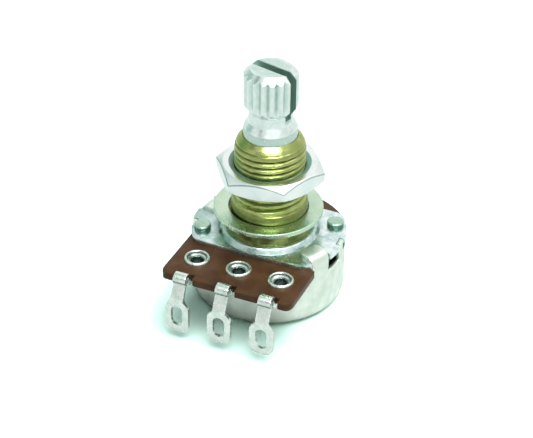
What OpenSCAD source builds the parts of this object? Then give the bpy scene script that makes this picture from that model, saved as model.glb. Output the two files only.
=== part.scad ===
// Panel-mount rotary potentiometer: round steel can, phenolic terminal wafer,
// threaded brass bushing with nut and washer, and a splined, split shaft.
// Z runs along the shaft. The origin is the centre of the can's back face.
// The three terminals point to -Y and stand in a row along X.

/* [Can] */
// Outside diameter of the can
can_d = 17.3; // [16:0.1:20]
// Sheet thickness of the can's wall
can_wall = 0.45; // [0.3:0.05:0.6]
// Sheet thickness of the can's floor
can_floor = 0.5; // [0.4:0.05:0.8]
// Height of the can's rim above its back face
can_h = 6.45; // [6:0.05:10]
// Outside radius of the corner between floor and wall
can_corner_r = 1.3; // [0.8:0.1:1.6]
// How far below the rim the wall is cut away behind the terminals
terminal_gap_h = 1.2; // [1:0.1:2]
// Depth of the two cut-outs in the wall beside the crimp tabs
window_h = 0.6; // [0.3:0.1:1]

/* [Crimp tabs] */
// Width of each tab that folds over the front plate
tab_w = 2.5; // [1.5:0.1:3]
// Gap between the boss's foot and a folded tab's tip
tab_tip_gap = 0.67; // [0.3:0.01:1]
// Outside radius of a tab's fold
tab_bend_r = 0.55; // [0.5:0.05:0.8]
// Direction of the tab near the terminals, in degrees from +X
tab_front_angle = -25; // [-30:1:-22]
// Direction of the tab on the far side
tab_rear_angle = 170; // [160:1:175]
// Angle that each cut-out beside a tab spans
window_angle = 16; // [8:1:20]
// Angle that the upright locating lug beyond each cut-out spans
lug_angle = 7.5; // [4:0.5:9]

/* [Turning stop] */
// Angle that the can's inner stop spans
stop_angle = 39; // [20:1:45]
// Gap between the rotor disc's edge and the stop
stop_gap = 0.4; // [0.3:0.05:0.7]
// Height of the stop above the floor
stop_h = 4.2; // [2:0.1:4.6]

/* [Wafer] */
// Thickness of the wafer
wafer_t = 0.8; // [0.6:0.1:1.2]
// How far the wafer's round part stands out beyond the can
wafer_over = 0.3; // [0.15:0.05:0.6]
// Direction from which the wafer stands out over the can, round to the rear tab
wafer_over_angle = 38; // [30:1:60]
// Distance from the outer eyelets to the sides of the terminal tongue
tongue_side = 2.7; // [2.3:0.1:3]
// Distance from the eyelets to the tongue's front edge
tongue_l = 3.8; // [3.5:0.05:4.6]
// Corner radius of the tongue
tongue_corner_r = 1.3; // [0.5:0.1:1.4]
// Gap between the wafer's centre hole and the retaining ring
wafer_hole_gap = 0.25; // [0.2:0.05:0.3]
// Width of the notch that each terminal rises through
notch_w = 2.35; // [2:0.05:2.8]
// Depth of that notch
notch_depth = 0.88; // [0.8:0.02:1]

/* [Resistive track] */
// Thickness of the printed track and of the collector ring
track_t = 0.06; // [0.04:0.01:0.1]
// Width of the carbon track
track_w = 1.3; // [1.1:0.1:1.4]
// Bare ring of wafer between the collector ring and the track
track_space = 0.6; // [0.4:0.05:0.8]
// Angle left open at the front between the ends of the track
track_gap_angle = 50; // [40:1:60]
// Width of the collector ring
collector_w = 0.85; // [0.75:0.05:1]

/* [Terminals] */
// Distance between neighbouring terminals
pitch = 5; // [4.8:0.1:5.2]
// Gap between the front plate's straight edge and the eyelets' rims
eyelet_gap = 1.12; // [0.8:0.02:1.4]
// Sheet thickness of a terminal
lug_t = 0.4; // [0.3:0.05:0.5]
// Width of a terminal's strap
strap_w = 1.46; // [1.2:0.02:1.8]
// Diameter of the terminal's inner end under its eyelet
lug_seat_d = 3; // [2.8:0.1:3.2]
// Gap between the notch's inner end and the strap that rises in it
rise_gap = 0.26; // [0.2:0.02:0.3]
// Outside radius of the hump over the wafer's edge
hump_r = 0.75; // [0.7:0.05:0.85]
// Height of the hump's top above the wafer
hump_up = 0.6; // [0.4:0.05:0.9]
// How far the strap is creased back below the hump
crease_in = 0.25; // [0.1:0.05:0.3]
// Height of the crease above the back face
crease_z = 6.8; // [6.6:0.05:6.9]
// Distance from the wafer's edge to the solder ring's front face
ring_out = 1.5; // [1.3:0.05:1.8]
// Width of the solder ring
ring_w = 2.75; // [2.4:0.05:3.2]
// Height of the solder ring's lower edge above the back face
ring_bottom_z = 1.06; // [0.3:0.02:1.4]
// Height at which the shoulders reach the ring's full width
ring_top_z = 4.35; // [4:0.05:4.5]
// Corner radius at the ring's lower edge
ring_corner_r = 1.1; // [0.3:0.1:1.2]
// Width of the solder eye
eye_w = 1.35; // [1:0.05:1.6]
// Height of the solder eye
eye_h = 2.5; // [2:0.1:2.8]
// Strip of metal below the solder eye
eye_sill = 0.75; // [0.5:0.05:0.9]

/* [Eyelets] */
// Outside diameter of an eyelet's rolled rim
eyelet_d = 2.9; // [2.6:0.1:3.1]
// Outside diameter of an eyelet's barrel
barrel_d = 1.95; // [1.8:0.05:2.1]
// Inside diameter of an eyelet's barrel
eyelet_hole_d = 1.65; // [1.4:0.05:1.7]
// Diameter of an eyelet's lower flange
eyelet_foot_d = 2.6; // [2.4:0.1:2.8]
// Thickness of an eyelet's lower flange
eyelet_foot_t = 0.2; // [0.15:0.05:0.3]

/* [Front plate] */
// Sheet thickness of the front plate
plate_t = 0.6; // [0.5:0.05:0.8]
// How far the plate's round sides stand out beyond the can
plate_over = 0.1; // [0:0.05:0.3]
// Strip of plate between the boss's foot and each straight edge
plate_lip = 0.05; // [0.04:0.01:0.4]
// Place of the boss's foot: 0 is at the bushing's flange, 1 at the can's outside
boss_ratio = 0.215; // [0.18:0.005:0.3]
// How far the boss's side slopes in, measured across
boss_draft = 0.38; // [0.2:0.02:0.5]
// Height of the boss above the plate
boss_h = 0.65; // [0.5:0.05:0.8]
// Diameter of the rivet heads on the plate
rivet_d = 1.9; // [1.6:0.1:2.2]
// Height of a rivet head
rivet_h = 0.62; // [0.4:0.02:0.8]
// Diameter of a rivet's shank
rivet_shank_d = 1.4; // [1.2:0.1:1.4]
// Chamfer round a rivet head's flat top
rivet_chamfer = 0.12; // [0.05:0.01:0.2]
// Place of the rivets: 0 is at the boss's foot, 1 at the plate's edge
rivet_ratio = 0.586; // [0.45:0.002:0.6]
// Direction of the right-hand rivet, in degrees from +X
rivet_angle = 26.5; // [22:0.5:32]

/* [Bushing] */
// Wall of the bushing from the shaft's surface to the thread's crests
bushing_wall = 0.95; // [0.85:0.05:1.4]
// Height of the bushing's top above the back face
bushing_top_z = 20.1; // [19:0.1:22]
// Height of the bushing's flange
flange_h = 1.8; // [1.5:0.1:2.2]
// How far the bushing's flange stands out beyond the shoulder
flange_lip = 0.6; // [0.5:0.02:0.8]
// How far the smooth shoulder stands out beyond the thread
shoulder_step = 0.38; // [0.3:0.02:0.45]
// Length of the smooth shoulder
shoulder_h = 1.8; // [1.2:0.1:2]
// Distance between two grooves of the thread
thread_pitch = 0.75; // [0.5:0.05:1]
// Depth of the thread's grooves
thread_depth = 0.3; // [0.2:0.02:0.4]
// Width of the thread's grooves at the crests
thread_groove_w = 0.45; // [0.3:0.05:0.5]
// How much thinner the tail through the front plate is than the thread
tail_step = 0.1; // [0:0.02:0.2]
// How far the rivetted rim behind the plate stands out beyond the tail
stake_lip = 0.65; // [0.4:0.05:0.7]
// Thickness of the rivetted rim
stake_t = 0.4; // [0.3:0.05:0.45]

/* [Nut and washer] */
// Thickness of the nut from the thread's crests to its flats
nut_wall = 1.5; // [1.4:0.05:2]
// Nut thickness
nut_t = 2; // [1.6:0.1:2.4]
// Height of the nut's lower face above the back face
nut_z = 14.55; // [13.5:0.05:16]
// Depth of the nut's countersinks
nut_sink = 0.55; // [0.3:0.05:0.6]
// Height of the turned chamfer at the nut's corners
nut_chamfer_h = 0.6; // [0.3:0.05:0.7]
// Direction of one of the nut's corners, in degrees from +X
nut_corner_angle = 7.3; // [0:0.5:59]
// How far the nut's flat end faces stop short of its flats
nut_face_in = 0.2; // [0.1:0.05:0.4]
// Width of the washer's ring
washer_band = 1.7; // [1.4:0.05:2.2]
// Gap between the washer's hole and the bushing's shoulder
washer_gap = 0.12; // [0.12:0.02:0.3]
// Washer thickness
washer_t = 0.5; // [0.4:0.05:0.8]
// How far the loose washer lies to one side, along X
washer_shift = -0.1; // [-0.1:0.01:0.1]

/* [Shaft] */
// Shaft diameter
shaft_d = 6; // [5.9:0.05:6]
// Height of the shaft's tip above the back face
shaft_top_z = 28.1; // [27:0.1:32]
// Length of the splined end
spline_l = 5.05; // [4:0.05:6]
// Number of splines
splines = 18; // [12:1:24]
// Depth of the grooves between the splines
spline_depth = 0.32; // [0.2:0.02:0.4]
// Width of a groove at the shaft's surface
spline_groove_w = 0.44; // [0.3:0.02:0.9]
// Chamfer at the tip
spline_chamfer = 0.7; // [0.3:0.05:0.8]
// Height of the run-out at the lower end of the splines
spline_foot_h = 0.8; // [0.5:0.05:1.2]
// Depth of the waist below the splines
waist_depth = 0.6; // [0.4:0.05:0.65]
// Height of the waist
waist_h = 0.5; // [0.1:0.05:0.6]
// Height of the steep slope below the waist
collar_neck_h = 0.65; // [0.4:0.05:0.8]
// How far the steep slope stays within the shaft's surface at its foot
collar_edge_in = 0.45; // [0.2:0.05:0.55]
// Height of the collar's turned shoulder below the steep slope
collar_slope_h = 0.85; // [0.4:0.05:1]
// Width of the slot across the shaft's end
slot_w = 1; // [0.8:0.05:1.2]
// Depth of the slot
slot_depth = 5.55; // [4.5:0.05:6]
// Direction of the slot, in degrees from +X
slot_angle = -14.5; // [-30:0.5:30]

/* [Rotor] */
// Strip of the rotor disc outside the track
rotor_rim = 0.1; // [0:0.05:0.3]
// Thickness of the rotor disc
rotor_t = 1.3; // [1:0.1:1.8]
// Wall of the rotor's hub round the shaft
rotor_hub_w = 1.3; // [1:0.1:1.5]
// Height of the hub below the disc
rotor_hub_h = 1.4; // [1:0.1:1.6]
// Height of the rotor disc's upper face above the back face
rotor_top_z = 4.9; // [4.6:0.1:5]
// Gap between the stop arm's tip and the can's wall
arm_gap = 0.3; // [0.3:0.05:0.5]
// Angle that the stop arm spans
arm_angle = 20; // [12:1:24]
// Sheet thickness of the wiper spring
spring_t = 0.15; // [0.1:0.05:0.2]
// Width of each wiper finger
finger_w = 0.7; // [0.5:0.05:0.8]
// Length of each wiper finger
finger_l = 2.3; // [2:0.1:2.5]
// Width of the arm that carries the fingers
finger_arm_w = 1.2; // [0.8:0.1:1.4]
// Thickness of the retaining ring
clip_t = 0.5; // [0.4:0.05:0.5]
// How far the retaining ring stands out beyond the shaft
clip_out = 0.5; // [0.4:0.05:0.5]
// Depth of the retaining ring's groove in the shaft
clip_groove = 0.4; // [0.3:0.05:0.5]
// Angle that the retaining ring leaves open
clip_gap_angle = 50; // [30:1:60]

/* [Clearances] */
// Radial gap between shaft and bushing
shaft_gap = 0.04; // [0.02:0.01:0.06]
// Radial gap between the nut and the crests of the bushing's thread
nut_gap = 0.05; // [0.03:0.01:0.08]
// End play of the shaft
end_play = 0.1; // [0.08:0.01:0.15]
// Gap between the wiper's contacts and the printed rings
contact_gap = 0.04; // [0.03:0.01:0.06]
// Gap round sheet edges, rivets and eyelets where they pass through
edge_gap = 0.05; // [0.03:0.01:0.08]

/* [Hidden] */
$fn = 64;
eps = 0.01;
can_r = can_d / 2;
can_ri = can_r - can_wall;
wafer_z0 = can_h;
wafer_z1 = wafer_z0 + wafer_t;
plate_z0 = wafer_z1;
plate_z1 = plate_z0 + plate_t;
boss_z = plate_z1 + boss_h;
flange_z = boss_z + flange_h;
shoulder_z = flange_z + shoulder_h;
track_z = wafer_z0 - track_t;
lug_z0 = track_z - lug_t;
foot_z0 = lug_z0 - eyelet_foot_t;
bore_r = shaft_d / 2 + shaft_gap;
stake_z = boss_z - plate_t - stake_t;
clip_z1 = stake_z - end_play;
clip_z0 = clip_z1 - clip_t;
spline_z0 = shaft_top_z - spline_l;
waist_z0 = spline_z0 - waist_h;
collar_z = waist_z0 - collar_neck_h;
wafer_d = can_d + 2 * wafer_over;
plate_d = can_d + 2 * plate_over;
clip_r = shaft_d / 2 + clip_out;
wafer_hole_d = 2 * (clip_r + wafer_hole_gap);
collector_od = wafer_hole_d + 2 * collector_w;
thread_d = shaft_d + 2 * bushing_wall;
shoulder_d = thread_d + 2 * shoulder_step;
flange_d = shoulder_d + 2 * flange_lip;
tail_d = thread_d - 2 * tail_step;
stake_d = tail_d + 2 * stake_lip;
boss_d = flange_d + boss_ratio * (can_d - flange_d);
boss_top_d = boss_d - 2 * boss_draft;
plate_flat = boss_d / 2 + plate_lip;
eyelet_y = plate_flat + eyelet_gap + eyelet_d / 2;
tongue_w = 2 * (pitch + tongue_side);
tongue_reach = eyelet_y + tongue_l;
rise_y = tongue_reach - notch_depth + rise_gap + lug_t / 2;
ring_y = tongue_reach + ring_out;
rivet_r = boss_d / 2 + rivet_ratio * (plate_d - boss_d) / 2;
tab_tip_r = boss_d / 2 + tab_tip_gap;
nut_af = thread_d + 2 * nut_wall;
washer_hole_d = shoulder_d + 2 * washer_gap;
washer_d = washer_hole_d + 2 * washer_band;
track_r0 = collector_od / 2 + track_space;
track_r1 = track_r0 + track_w;
rotor_r = track_r1 + rotor_rim;
stop_r = rotor_r + stop_gap;
arm_r = can_ri - arm_gap;
hub_r = shaft_d / 2 + rotor_hub_w;
tab_half_angle = asin(tab_w / 2 / can_r);
sets = [tab_front_angle, tab_rear_angle];
// the cut-out behind the terminals starts just in front of the first tab
gap_y = can_r * sin(tab_half_angle - tab_front_angle) + 3 * edge_gap;

module steel() { color([0.78, 0.81, 0.80]) children(); }

// a wedge of the plane from angle a0 to a1, out to radius r
module wedge2(a0, a1, r) {
    n = 6;
    polygon(concat([[0, 0]], [for (i = [0:n])
        let (a = a0 + (a1 - a0) * i / n) r / cos((a1 - a0) / n / 2) * [cos(a), sin(a)]]));
}

// a ring sector standing on z0
module sector(ri, ro, a0, a1, z0, h) {
    translate([0, 0, z0]) linear_extrude(h) intersection() {
        difference() { circle(ro); circle(ri); }
        wedge2(a0, a1, 3 * ro);
    }
}

// side profile of a crimp tab, x outwards and y up
module tab_profile() {
    top = plate_z1 + can_wall;
    translate([can_ri, can_h - eps]) square([can_wall, top - tab_bend_r - can_h + eps]);
    translate([can_r - tab_bend_r, top - tab_bend_r]) intersection() {
        difference() { circle(tab_bend_r); circle(tab_bend_r - can_wall); }
        square(tab_bend_r + 1);
    }
    translate([tab_tip_r, plate_z1]) square([can_r - tab_bend_r - tab_tip_r, can_wall]);
}

module crimp_tab(a) {
    rotate([0, 0, a]) rotate([90, 0, 0])
        linear_extrude(tab_w, center = true) tab_profile();
}

// the wall's cut-out beside the tab, from the tab's edge to the locating lug
function window_from(i) = i == 0 ? sets[0] + tab_half_angle : sets[1] + tab_half_angle;

module rear_can() {
    steel() {
        difference() {
            rotate_extrude() can_profile();
            // room for the terminals and the feet of their eyelets
            translate([-can_d, -can_d - gap_y, can_h - terminal_gap_h])
                cube([2 * can_d, can_d, 2 * terminal_gap_h]);
            for (i = [0, 1])
                sector(can_ri - eps, can_r + 1, window_from(i), window_from(i) + window_angle,
                    can_h - window_h, 2 * window_h);
        }
        for (a = sets) crimp_tab(a);
        // locating lugs that stand up to the plate's face
        for (i = [0, 1])
            sector(can_ri, can_r, window_from(i) + window_angle,
                window_from(i) + window_angle + lug_angle, can_h - eps, plate_z1 - can_h + eps);
        // stop for the rotor's arm, below the terminals
        sector(stop_r, can_ri + eps, -90 - stop_angle / 2, -90 + stop_angle / 2, can_floor - eps,
            stop_h + eps);
    }
}

module can_profile() {
    ri = can_corner_r - can_floor;
    difference() {
        union() {
            square([can_r - can_corner_r, can_h]);
            translate([0, can_corner_r]) square([can_r, can_h - can_corner_r]);
            translate([can_r - can_corner_r, can_corner_r]) circle(can_corner_r);
        }
        translate([-1, can_corner_r]) square([can_ri + 1, can_h]);
        translate([-1, can_floor]) square([can_ri - ri + 1, can_h]);
        translate([can_ri - ri, can_floor + ri]) circle(ri);
        translate([-can_d, -1]) square([can_d, can_h + 2]);
    }
}

// where tab, cut-out and lug leave the wafer and the plate free
module side_cuts(r, with_window) {
    for (i = [0, 1]) {
        a0 = sets[i] - tab_half_angle - 1;
        a1 = sets[i] + tab_half_angle + 1;
        b0 = window_from(i) + window_angle - 1;
        b1 = b0 + lug_angle + 2;
        difference() {
            union() {
                wedge2(a0, a1, 2 * can_d);
                wedge2(b0, b1, 2 * can_d);
                if (with_window) wedge2(a0, b1, 2 * can_d);
            }
            circle(r);
        }
    }
}

module wafer_outline() {
    difference() {
        union() {
            circle(d = can_d);
            intersection() {
                circle(d = wafer_d);
                wedge2(wafer_over_angle, tab_rear_angle, wafer_d);
            }
            translate([-tongue_w / 2, -tongue_reach + tongue_corner_r])
                square([tongue_w, tongue_reach - tongue_corner_r]);
            translate([-tongue_w / 2 + tongue_corner_r, -tongue_reach])
                square([tongue_w - 2 * tongue_corner_r, tongue_reach]);
            for (s = [-1, 1])
                translate([s * (tongue_w / 2 - tongue_corner_r), -tongue_reach + tongue_corner_r])
                    circle(tongue_corner_r);
        }
        side_cuts(can_ri - edge_gap, true);
        circle(d = wafer_hole_d);
        for (s = [-1, 1]) rotate([0, 0, s < 0 ? rivet_angle + 180 : rivet_angle])
            translate([rivet_r, 0]) circle(d = rivet_shank_d);
        for (i = [-1:1]) {
            translate([i * pitch, -eyelet_y]) circle(d = barrel_d);
            translate([i * pitch - notch_w / 2, -tongue_reach - 1])
                square([notch_w, notch_depth + 1]);
        }
    }
}

module wafer() {
    color([0.40, 0.25, 0.15]) translate([0, 0, wafer_z0]) linear_extrude(wafer_t) wafer_outline();
}

// the pad under a terminal's inner end, with its way back to the ring
module pad2(x, r) {
    translate([x, -eyelet_y]) circle(d = lug_seat_d);
    intersection() {
        polygon([[x - lug_seat_d / 2, -eyelet_y], [x + lug_seat_d / 2, -eyelet_y],
            [0.45 * x + strap_w / 2, -r], [0.45 * x - strap_w / 2, -r]]);
        translate([-can_d, -can_d]) square([2 * can_d, can_d]);
    }
}

module carbon_track() {
    color([0.12, 0.12, 0.12]) translate([0, 0, track_z]) linear_extrude(track_t) difference() {
        union() {
            difference() {
                circle(track_r1);
                wedge2(-90 - track_gap_angle / 2, -90 + track_gap_angle / 2, can_d);
            }
            for (s = [-1, 1]) pad2(s * pitch, track_r0 + track_w / 10);
        }
        circle(track_r0);
        for (i = [-1, 1]) translate([i * pitch, -eyelet_y]) circle(d = barrel_d);
    }
}

module collector_ring() {
    color([0.75, 0.73, 0.70]) translate([0, 0, track_z]) linear_extrude(track_t) difference() {
        union() {
            circle(d = collector_od);
            translate([0, -eyelet_y]) circle(d = lug_seat_d);
            translate([-strap_w / 2, -eyelet_y]) square([strap_w, eyelet_y]);
        }
        circle(d = wafer_hole_d);
        translate([0, -eyelet_y]) circle(d = barrel_d);
    }
}

module plate_outline() {
    difference() {
        intersection() {
            circle(d = plate_d);
            square([2 * plate_d, 2 * plate_flat], center = true);
        }
        side_cuts(can_ri - edge_gap, false);
        for (a = [rivet_angle, rivet_angle + 180]) rotate([0, 0, a]) translate([rivet_r, 0])
            circle(d = rivet_shank_d);
    }
}

module front_plate() {
    color([0.72, 0.80, 0.82]) difference() {
        union() {
            translate([0, 0, plate_z0]) linear_extrude(plate_t) plate_outline();
            translate([0, 0, plate_z0]) rotate_extrude() polygon([[0, 0], [boss_d / 2, 0],
                [boss_d / 2, plate_t], [boss_top_d / 2, plate_t + boss_h], [0, plate_t + boss_h]]);
        }
        // hollow under the boss, one sheet thickness inside it
        translate([0, 0, plate_z0 - eps]) rotate_extrude() polygon([[0, 0],
            [boss_d / 2 - plate_t, 0], [boss_top_d / 2 - plate_t, boss_h + eps], [0, boss_h + eps]]);
        translate([0, 0, plate_z0]) cylinder(h = 2 * (plate_t + boss_h), d = tail_d);
    }
}

module plate_rivet(a) {
    c = rivet_chamfer;
    color([0.74, 0.78, 0.74]) rotate([0, 0, a]) translate([rivet_r, 0, 0]) rotate_extrude()
        polygon([[0, wafer_z0], [rivet_shank_d / 2, wafer_z0], [rivet_shank_d / 2, plate_z1],
            [rivet_d / 2, plate_z1], [rivet_d / 2, plate_z1 + rivet_h - c],
            [rivet_d / 2 - c, plate_z1 + rivet_h], [0, plate_z1 + rivet_h]]);
}
module plate_rivet_left() { plate_rivet(rivet_angle + 180); }
module plate_rivet_right() { plate_rivet(rivet_angle); }

module eyelet(x) {
    rim = (eyelet_d - eyelet_hole_d) / 4;
    color([0.80, 0.83, 0.82]) translate([x, -eyelet_y, 0]) rotate_extrude() {
        translate([eyelet_hole_d / 2, foot_z0])
            square([(barrel_d - eyelet_hole_d) / 2, wafer_z1 - foot_z0 + eps]);
        translate([eyelet_hole_d / 2, foot_z0])
            square([(eyelet_foot_d - eyelet_hole_d) / 2, eyelet_foot_t]);
        intersection() {
            translate([eyelet_hole_d / 2 + rim, wafer_z1]) circle(rim);
            translate([0, wafer_z1]) square(eyelet_d);
        }
    }
}
module eyelet_left() { eyelet(-pitch); }
module eyelet_center() { eyelet(0); }
module eyelet_right() { eyelet(pitch); }

// a straight run of strip between two points of a side profile
module strip2(p, q, t) {
    d = q - p;
    n = [-d[1], d[0]] / norm(d) * t / 2;
    polygon([p + n, q + n, q - n, p - n]);
}

// side profile of the strap, x towards the front and y up
module strap_profile() {
    t = lug_t;
    ri = hump_r - t;
    front_y = rise_y + 2 * (hump_r - t / 2);
    arc_z = wafer_z1 + hump_up - hump_r;
    lift_r = t;
    crease = [front_y - crease_in, crease_z];
    flare_z = ring_top_z + (ring_w - strap_w) / 2;
    knee = [ring_y - t / 2, flare_z];
    translate([eyelet_y, lug_z0]) square([rise_y - lift_r - eyelet_y, t]);
    // bend up into the notch
    translate([rise_y - lift_r, lug_z0 + t / 2 + lift_r]) intersection() {
        difference() { circle(lift_r + t / 2); circle(lift_r - t / 2); }
        translate([0, -2]) square(2);
    }
    translate([rise_y - t / 2, lug_z0 + t / 2 + lift_r])
        square([t, arc_z - lug_z0 - t / 2 - lift_r]);
    // hump over the edge
    translate([rise_y + hump_r - t / 2, arc_z]) intersection() {
        difference() { circle(hump_r); circle(ri); }
        translate([-2, 0]) square([4, 2]);
    }
    strip2([front_y, arc_z], crease, t);
    translate(crease) circle(t / 2);
    strip2(crease, knee, t);
    translate(knee) circle(t / 2);
    translate([ring_y - t, ring_top_z]) square([t, flare_z - ring_top_z]);
}

// front view of the solder ring, x across and y up
module ring_front() {
    top = ring_top_z;
    w = ring_w / 2;
    r = ring_corner_r;
    difference() {
        union() {
            polygon([[-strap_w / 2, top + w - strap_w / 2], [strap_w / 2, top + w - strap_w / 2],
                [w, top], [w, ring_bottom_z + r], [-w, ring_bottom_z + r], [-w, top]]);
            translate([-w + r, ring_bottom_z]) square([2 * (w - r), r + eps]);
            for (s = [-1, 1]) translate([s * (w - r), ring_bottom_z + r]) circle(r);
        }
        eye0 = ring_bottom_z + eye_sill;
        for (z = [eye0 + eye_w / 2, eye0 + eye_h - eye_w / 2]) translate([0, z]) circle(d = eye_w);
        translate([-eye_w / 2, eye0 + eye_w / 2]) square([eye_w, eye_h - eye_w]);
    }
}

module lug(x) {
    color([0.80, 0.84, 0.83]) translate([x, 0, 0]) difference() {
        union() {
            translate([0, -eyelet_y, lug_z0]) cylinder(h = lug_t, d = lug_seat_d);
            rotate([90, 0, -90]) linear_extrude(strap_w, center = true) strap_profile();
            translate([0, -ring_y + lug_t, 0]) rotate([90, 0, 0]) linear_extrude(lug_t) ring_front();
        }
        translate([0, -eyelet_y, lug_z0 - 1]) cylinder(h = lug_t + 2, d = barrel_d);
    }
}
module lug_left() { lug(-pitch); }
module lug_center() { lug(0); }
module lug_right() { lug(pitch); }

module bushing() {
    lead = (thread_d - shaft_d) / 2 - shaft_gap;
    run = (shoulder_d - thread_d) / 2;
    crest = thread_d / 2;
    thread_z1 = bushing_top_z - lead;
    turns = floor((thread_z1 - shoulder_z - run) / thread_pitch);
    grooves = [for (i = [turns - 1:-1:0]) let (z = thread_z1 - (i + 0.5) * thread_pitch) each
        [[crest, z - thread_groove_w / 2], [crest - thread_depth, z], [crest, z + thread_groove_w / 2]]];
    color([0.62, 0.60, 0.28]) rotate_extrude() polygon(concat([
        [bore_r, stake_z], [stake_d / 2, stake_z], [stake_d / 2, stake_z + stake_t],
        [tail_d / 2, stake_z + stake_t], [tail_d / 2, boss_z], [flange_d / 2, boss_z],
        [flange_d / 2, flange_z], [shoulder_d / 2, flange_z], [shoulder_d / 2, shoulder_z],
        [crest, shoulder_z + run]], grooves, [[crest, thread_z1], [bore_r, bushing_top_z]]));
}

module flat_washer() {
    color([0.80, 0.84, 0.80]) translate([washer_shift, 0, flange_z]) difference() {
        cylinder(h = washer_t, d = washer_d);
        translate([0, 0, -1]) cylinder(h = washer_t + 2, d = washer_hole_d);
    }
}

module hex_nut() {
    bore = thread_d + 2 * nut_gap;
    corner = nut_af / cos(30) / 2;
    face_r = nut_af / 2 - nut_face_in;
    color([0.86, 0.88, 0.88]) translate([0, 0, nut_z]) difference() {
        intersection() {
            rotate([0, 0, nut_corner_angle]) cylinder(h = nut_t, r = corner, $fn = 6);
            rotate_extrude() polygon([[0, 0], [face_r, 0], [corner + eps, nut_chamfer_h],
                [corner + eps, nut_t - nut_chamfer_h], [face_r, nut_t], [0, nut_t]]);
        }
        rotate_extrude() polygon([[0, -1], [bore / 2 + nut_sink + 1, -1], [bore / 2, nut_sink],
            [bore / 2, nut_t - nut_sink], [bore / 2 + nut_sink + 1, nut_t + 1], [0, nut_t + 1]]);
    }
}

module shaft() {
    r = shaft_d / 2;
    w = r - waist_depth;
    c = spline_chamfer;
    foot = can_floor + end_play;
    neck = r - clip_groove;
    over = 0.3;
    side = spline_groove_w / 2 * (1 + over / spline_depth);
    color([0.84, 0.86, 0.85]) difference() {
        rotate_extrude() polygon([[0, foot], [r, foot], [r, clip_z0], [neck, clip_z0],
            [neck, clip_z1], [r, clip_z1], [r, collar_z - collar_slope_h],
            [r - collar_edge_in, collar_z], [w, waist_z0], [w, spline_z0],
            [r, spline_z0 + spline_foot_h], [r, shaft_top_z - c],
            [r - c, shaft_top_z], [0, shaft_top_z]]);
        for (i = [0:splines - 1]) rotate([0, 0, slot_angle + i * 360 / splines])
            translate([0, 0, spline_z0 - eps]) linear_extrude(spline_l + 1)
                polygon([[r - spline_depth, 0], [r + over, -side], [r + over, side]]);
        rotate([0, 0, slot_angle]) translate([-r - 1, -slot_w / 2, shaft_top_z - slot_depth])
            cube([2 * r + 2, slot_w, slot_depth + 1]);
    }
}

module retaining_ring() {
    color([0.55, 0.57, 0.60]) translate([0, 0, clip_z0]) linear_extrude(clip_t) difference() {
        circle(clip_r);
        circle(shaft_d / 2 - clip_groove);
        wedge2(-90 - clip_gap_angle / 2, -90 + clip_gap_angle / 2, 2 * clip_r);
    }
}

module wiper_carrier() {
    color([0.16, 0.15, 0.14]) {
        difference() {
            union() {
                translate([0, 0, rotor_top_z - rotor_t]) cylinder(h = rotor_t, r = rotor_r);
                translate([0, 0, rotor_top_z - rotor_t - rotor_hub_h])
                    cylinder(h = rotor_hub_h + eps, r = hub_r);
                sector(hub_r, arm_r, 90 - arm_angle / 2, 90 + arm_angle / 2,
                    rotor_top_z - rotor_t, rotor_t);
            }
            translate([0, 0, rotor_top_z - rotor_t - rotor_hub_h - 1])
                cylinder(h = rotor_t + rotor_hub_h + 2, d = shaft_d);
        }
    }
}

// side profile of a finger that rises to its contact at x = 0
module finger2() {
    top = track_z - contact_gap;
    base = rotor_top_z + spring_t / 2;
    dip = top - 2 * spring_t;
    strip2([-finger_l, base], [-2.5 * spring_t, dip], spring_t);
    translate([-finger_l, base]) circle(spring_t / 2, $fn = 24);
    translate([0, top - 3 * spring_t]) intersection() {
        difference() { circle(3 * spring_t, $fn = 48); circle(2 * spring_t, $fn = 48); }
        translate([-2, 0]) square([4, 2]);
    }
    translate([-2.5 * spring_t - spring_t / 2, top - 4 * spring_t])
        square([spring_t, spring_t + eps]);
}

module wiper_spring() {
    color([0.80, 0.66, 0.40]) {
        translate([0, 0, rotor_top_z]) linear_extrude(spring_t) difference() {
            union() {
                circle(hub_r);
                translate([-finger_l - finger_arm_w / 2, 0])
                    square([finger_arm_w, (track_r0 + track_r1) / 2 + finger_w / 2]);
            }
            circle(shaft_d / 2 + edge_gap);
        }
        for (y = [(wafer_hole_d + collector_od) / 4, (track_r0 + track_r1) / 2])
            translate([0, y + finger_w / 2, 0]) rotate([90, 0, 0])
                linear_extrude(finger_w) finger2();
    }
}

rear_can();
wafer();
carbon_track();
collector_ring();
front_plate();
plate_rivet_left();
plate_rivet_right();
eyelet_left();
eyelet_center();
eyelet_right();
lug_left();
lug_center();
lug_right();
bushing();
flat_washer();
hex_nut();
shaft();
retaining_ring();
wiper_carrier();
wiper_spring();
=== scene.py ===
import math

import bmesh
import bpy
import numpy as np
from mathutils import Matrix, Vector
from mathutils.geometry import delaunay_2d_cdt


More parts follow.
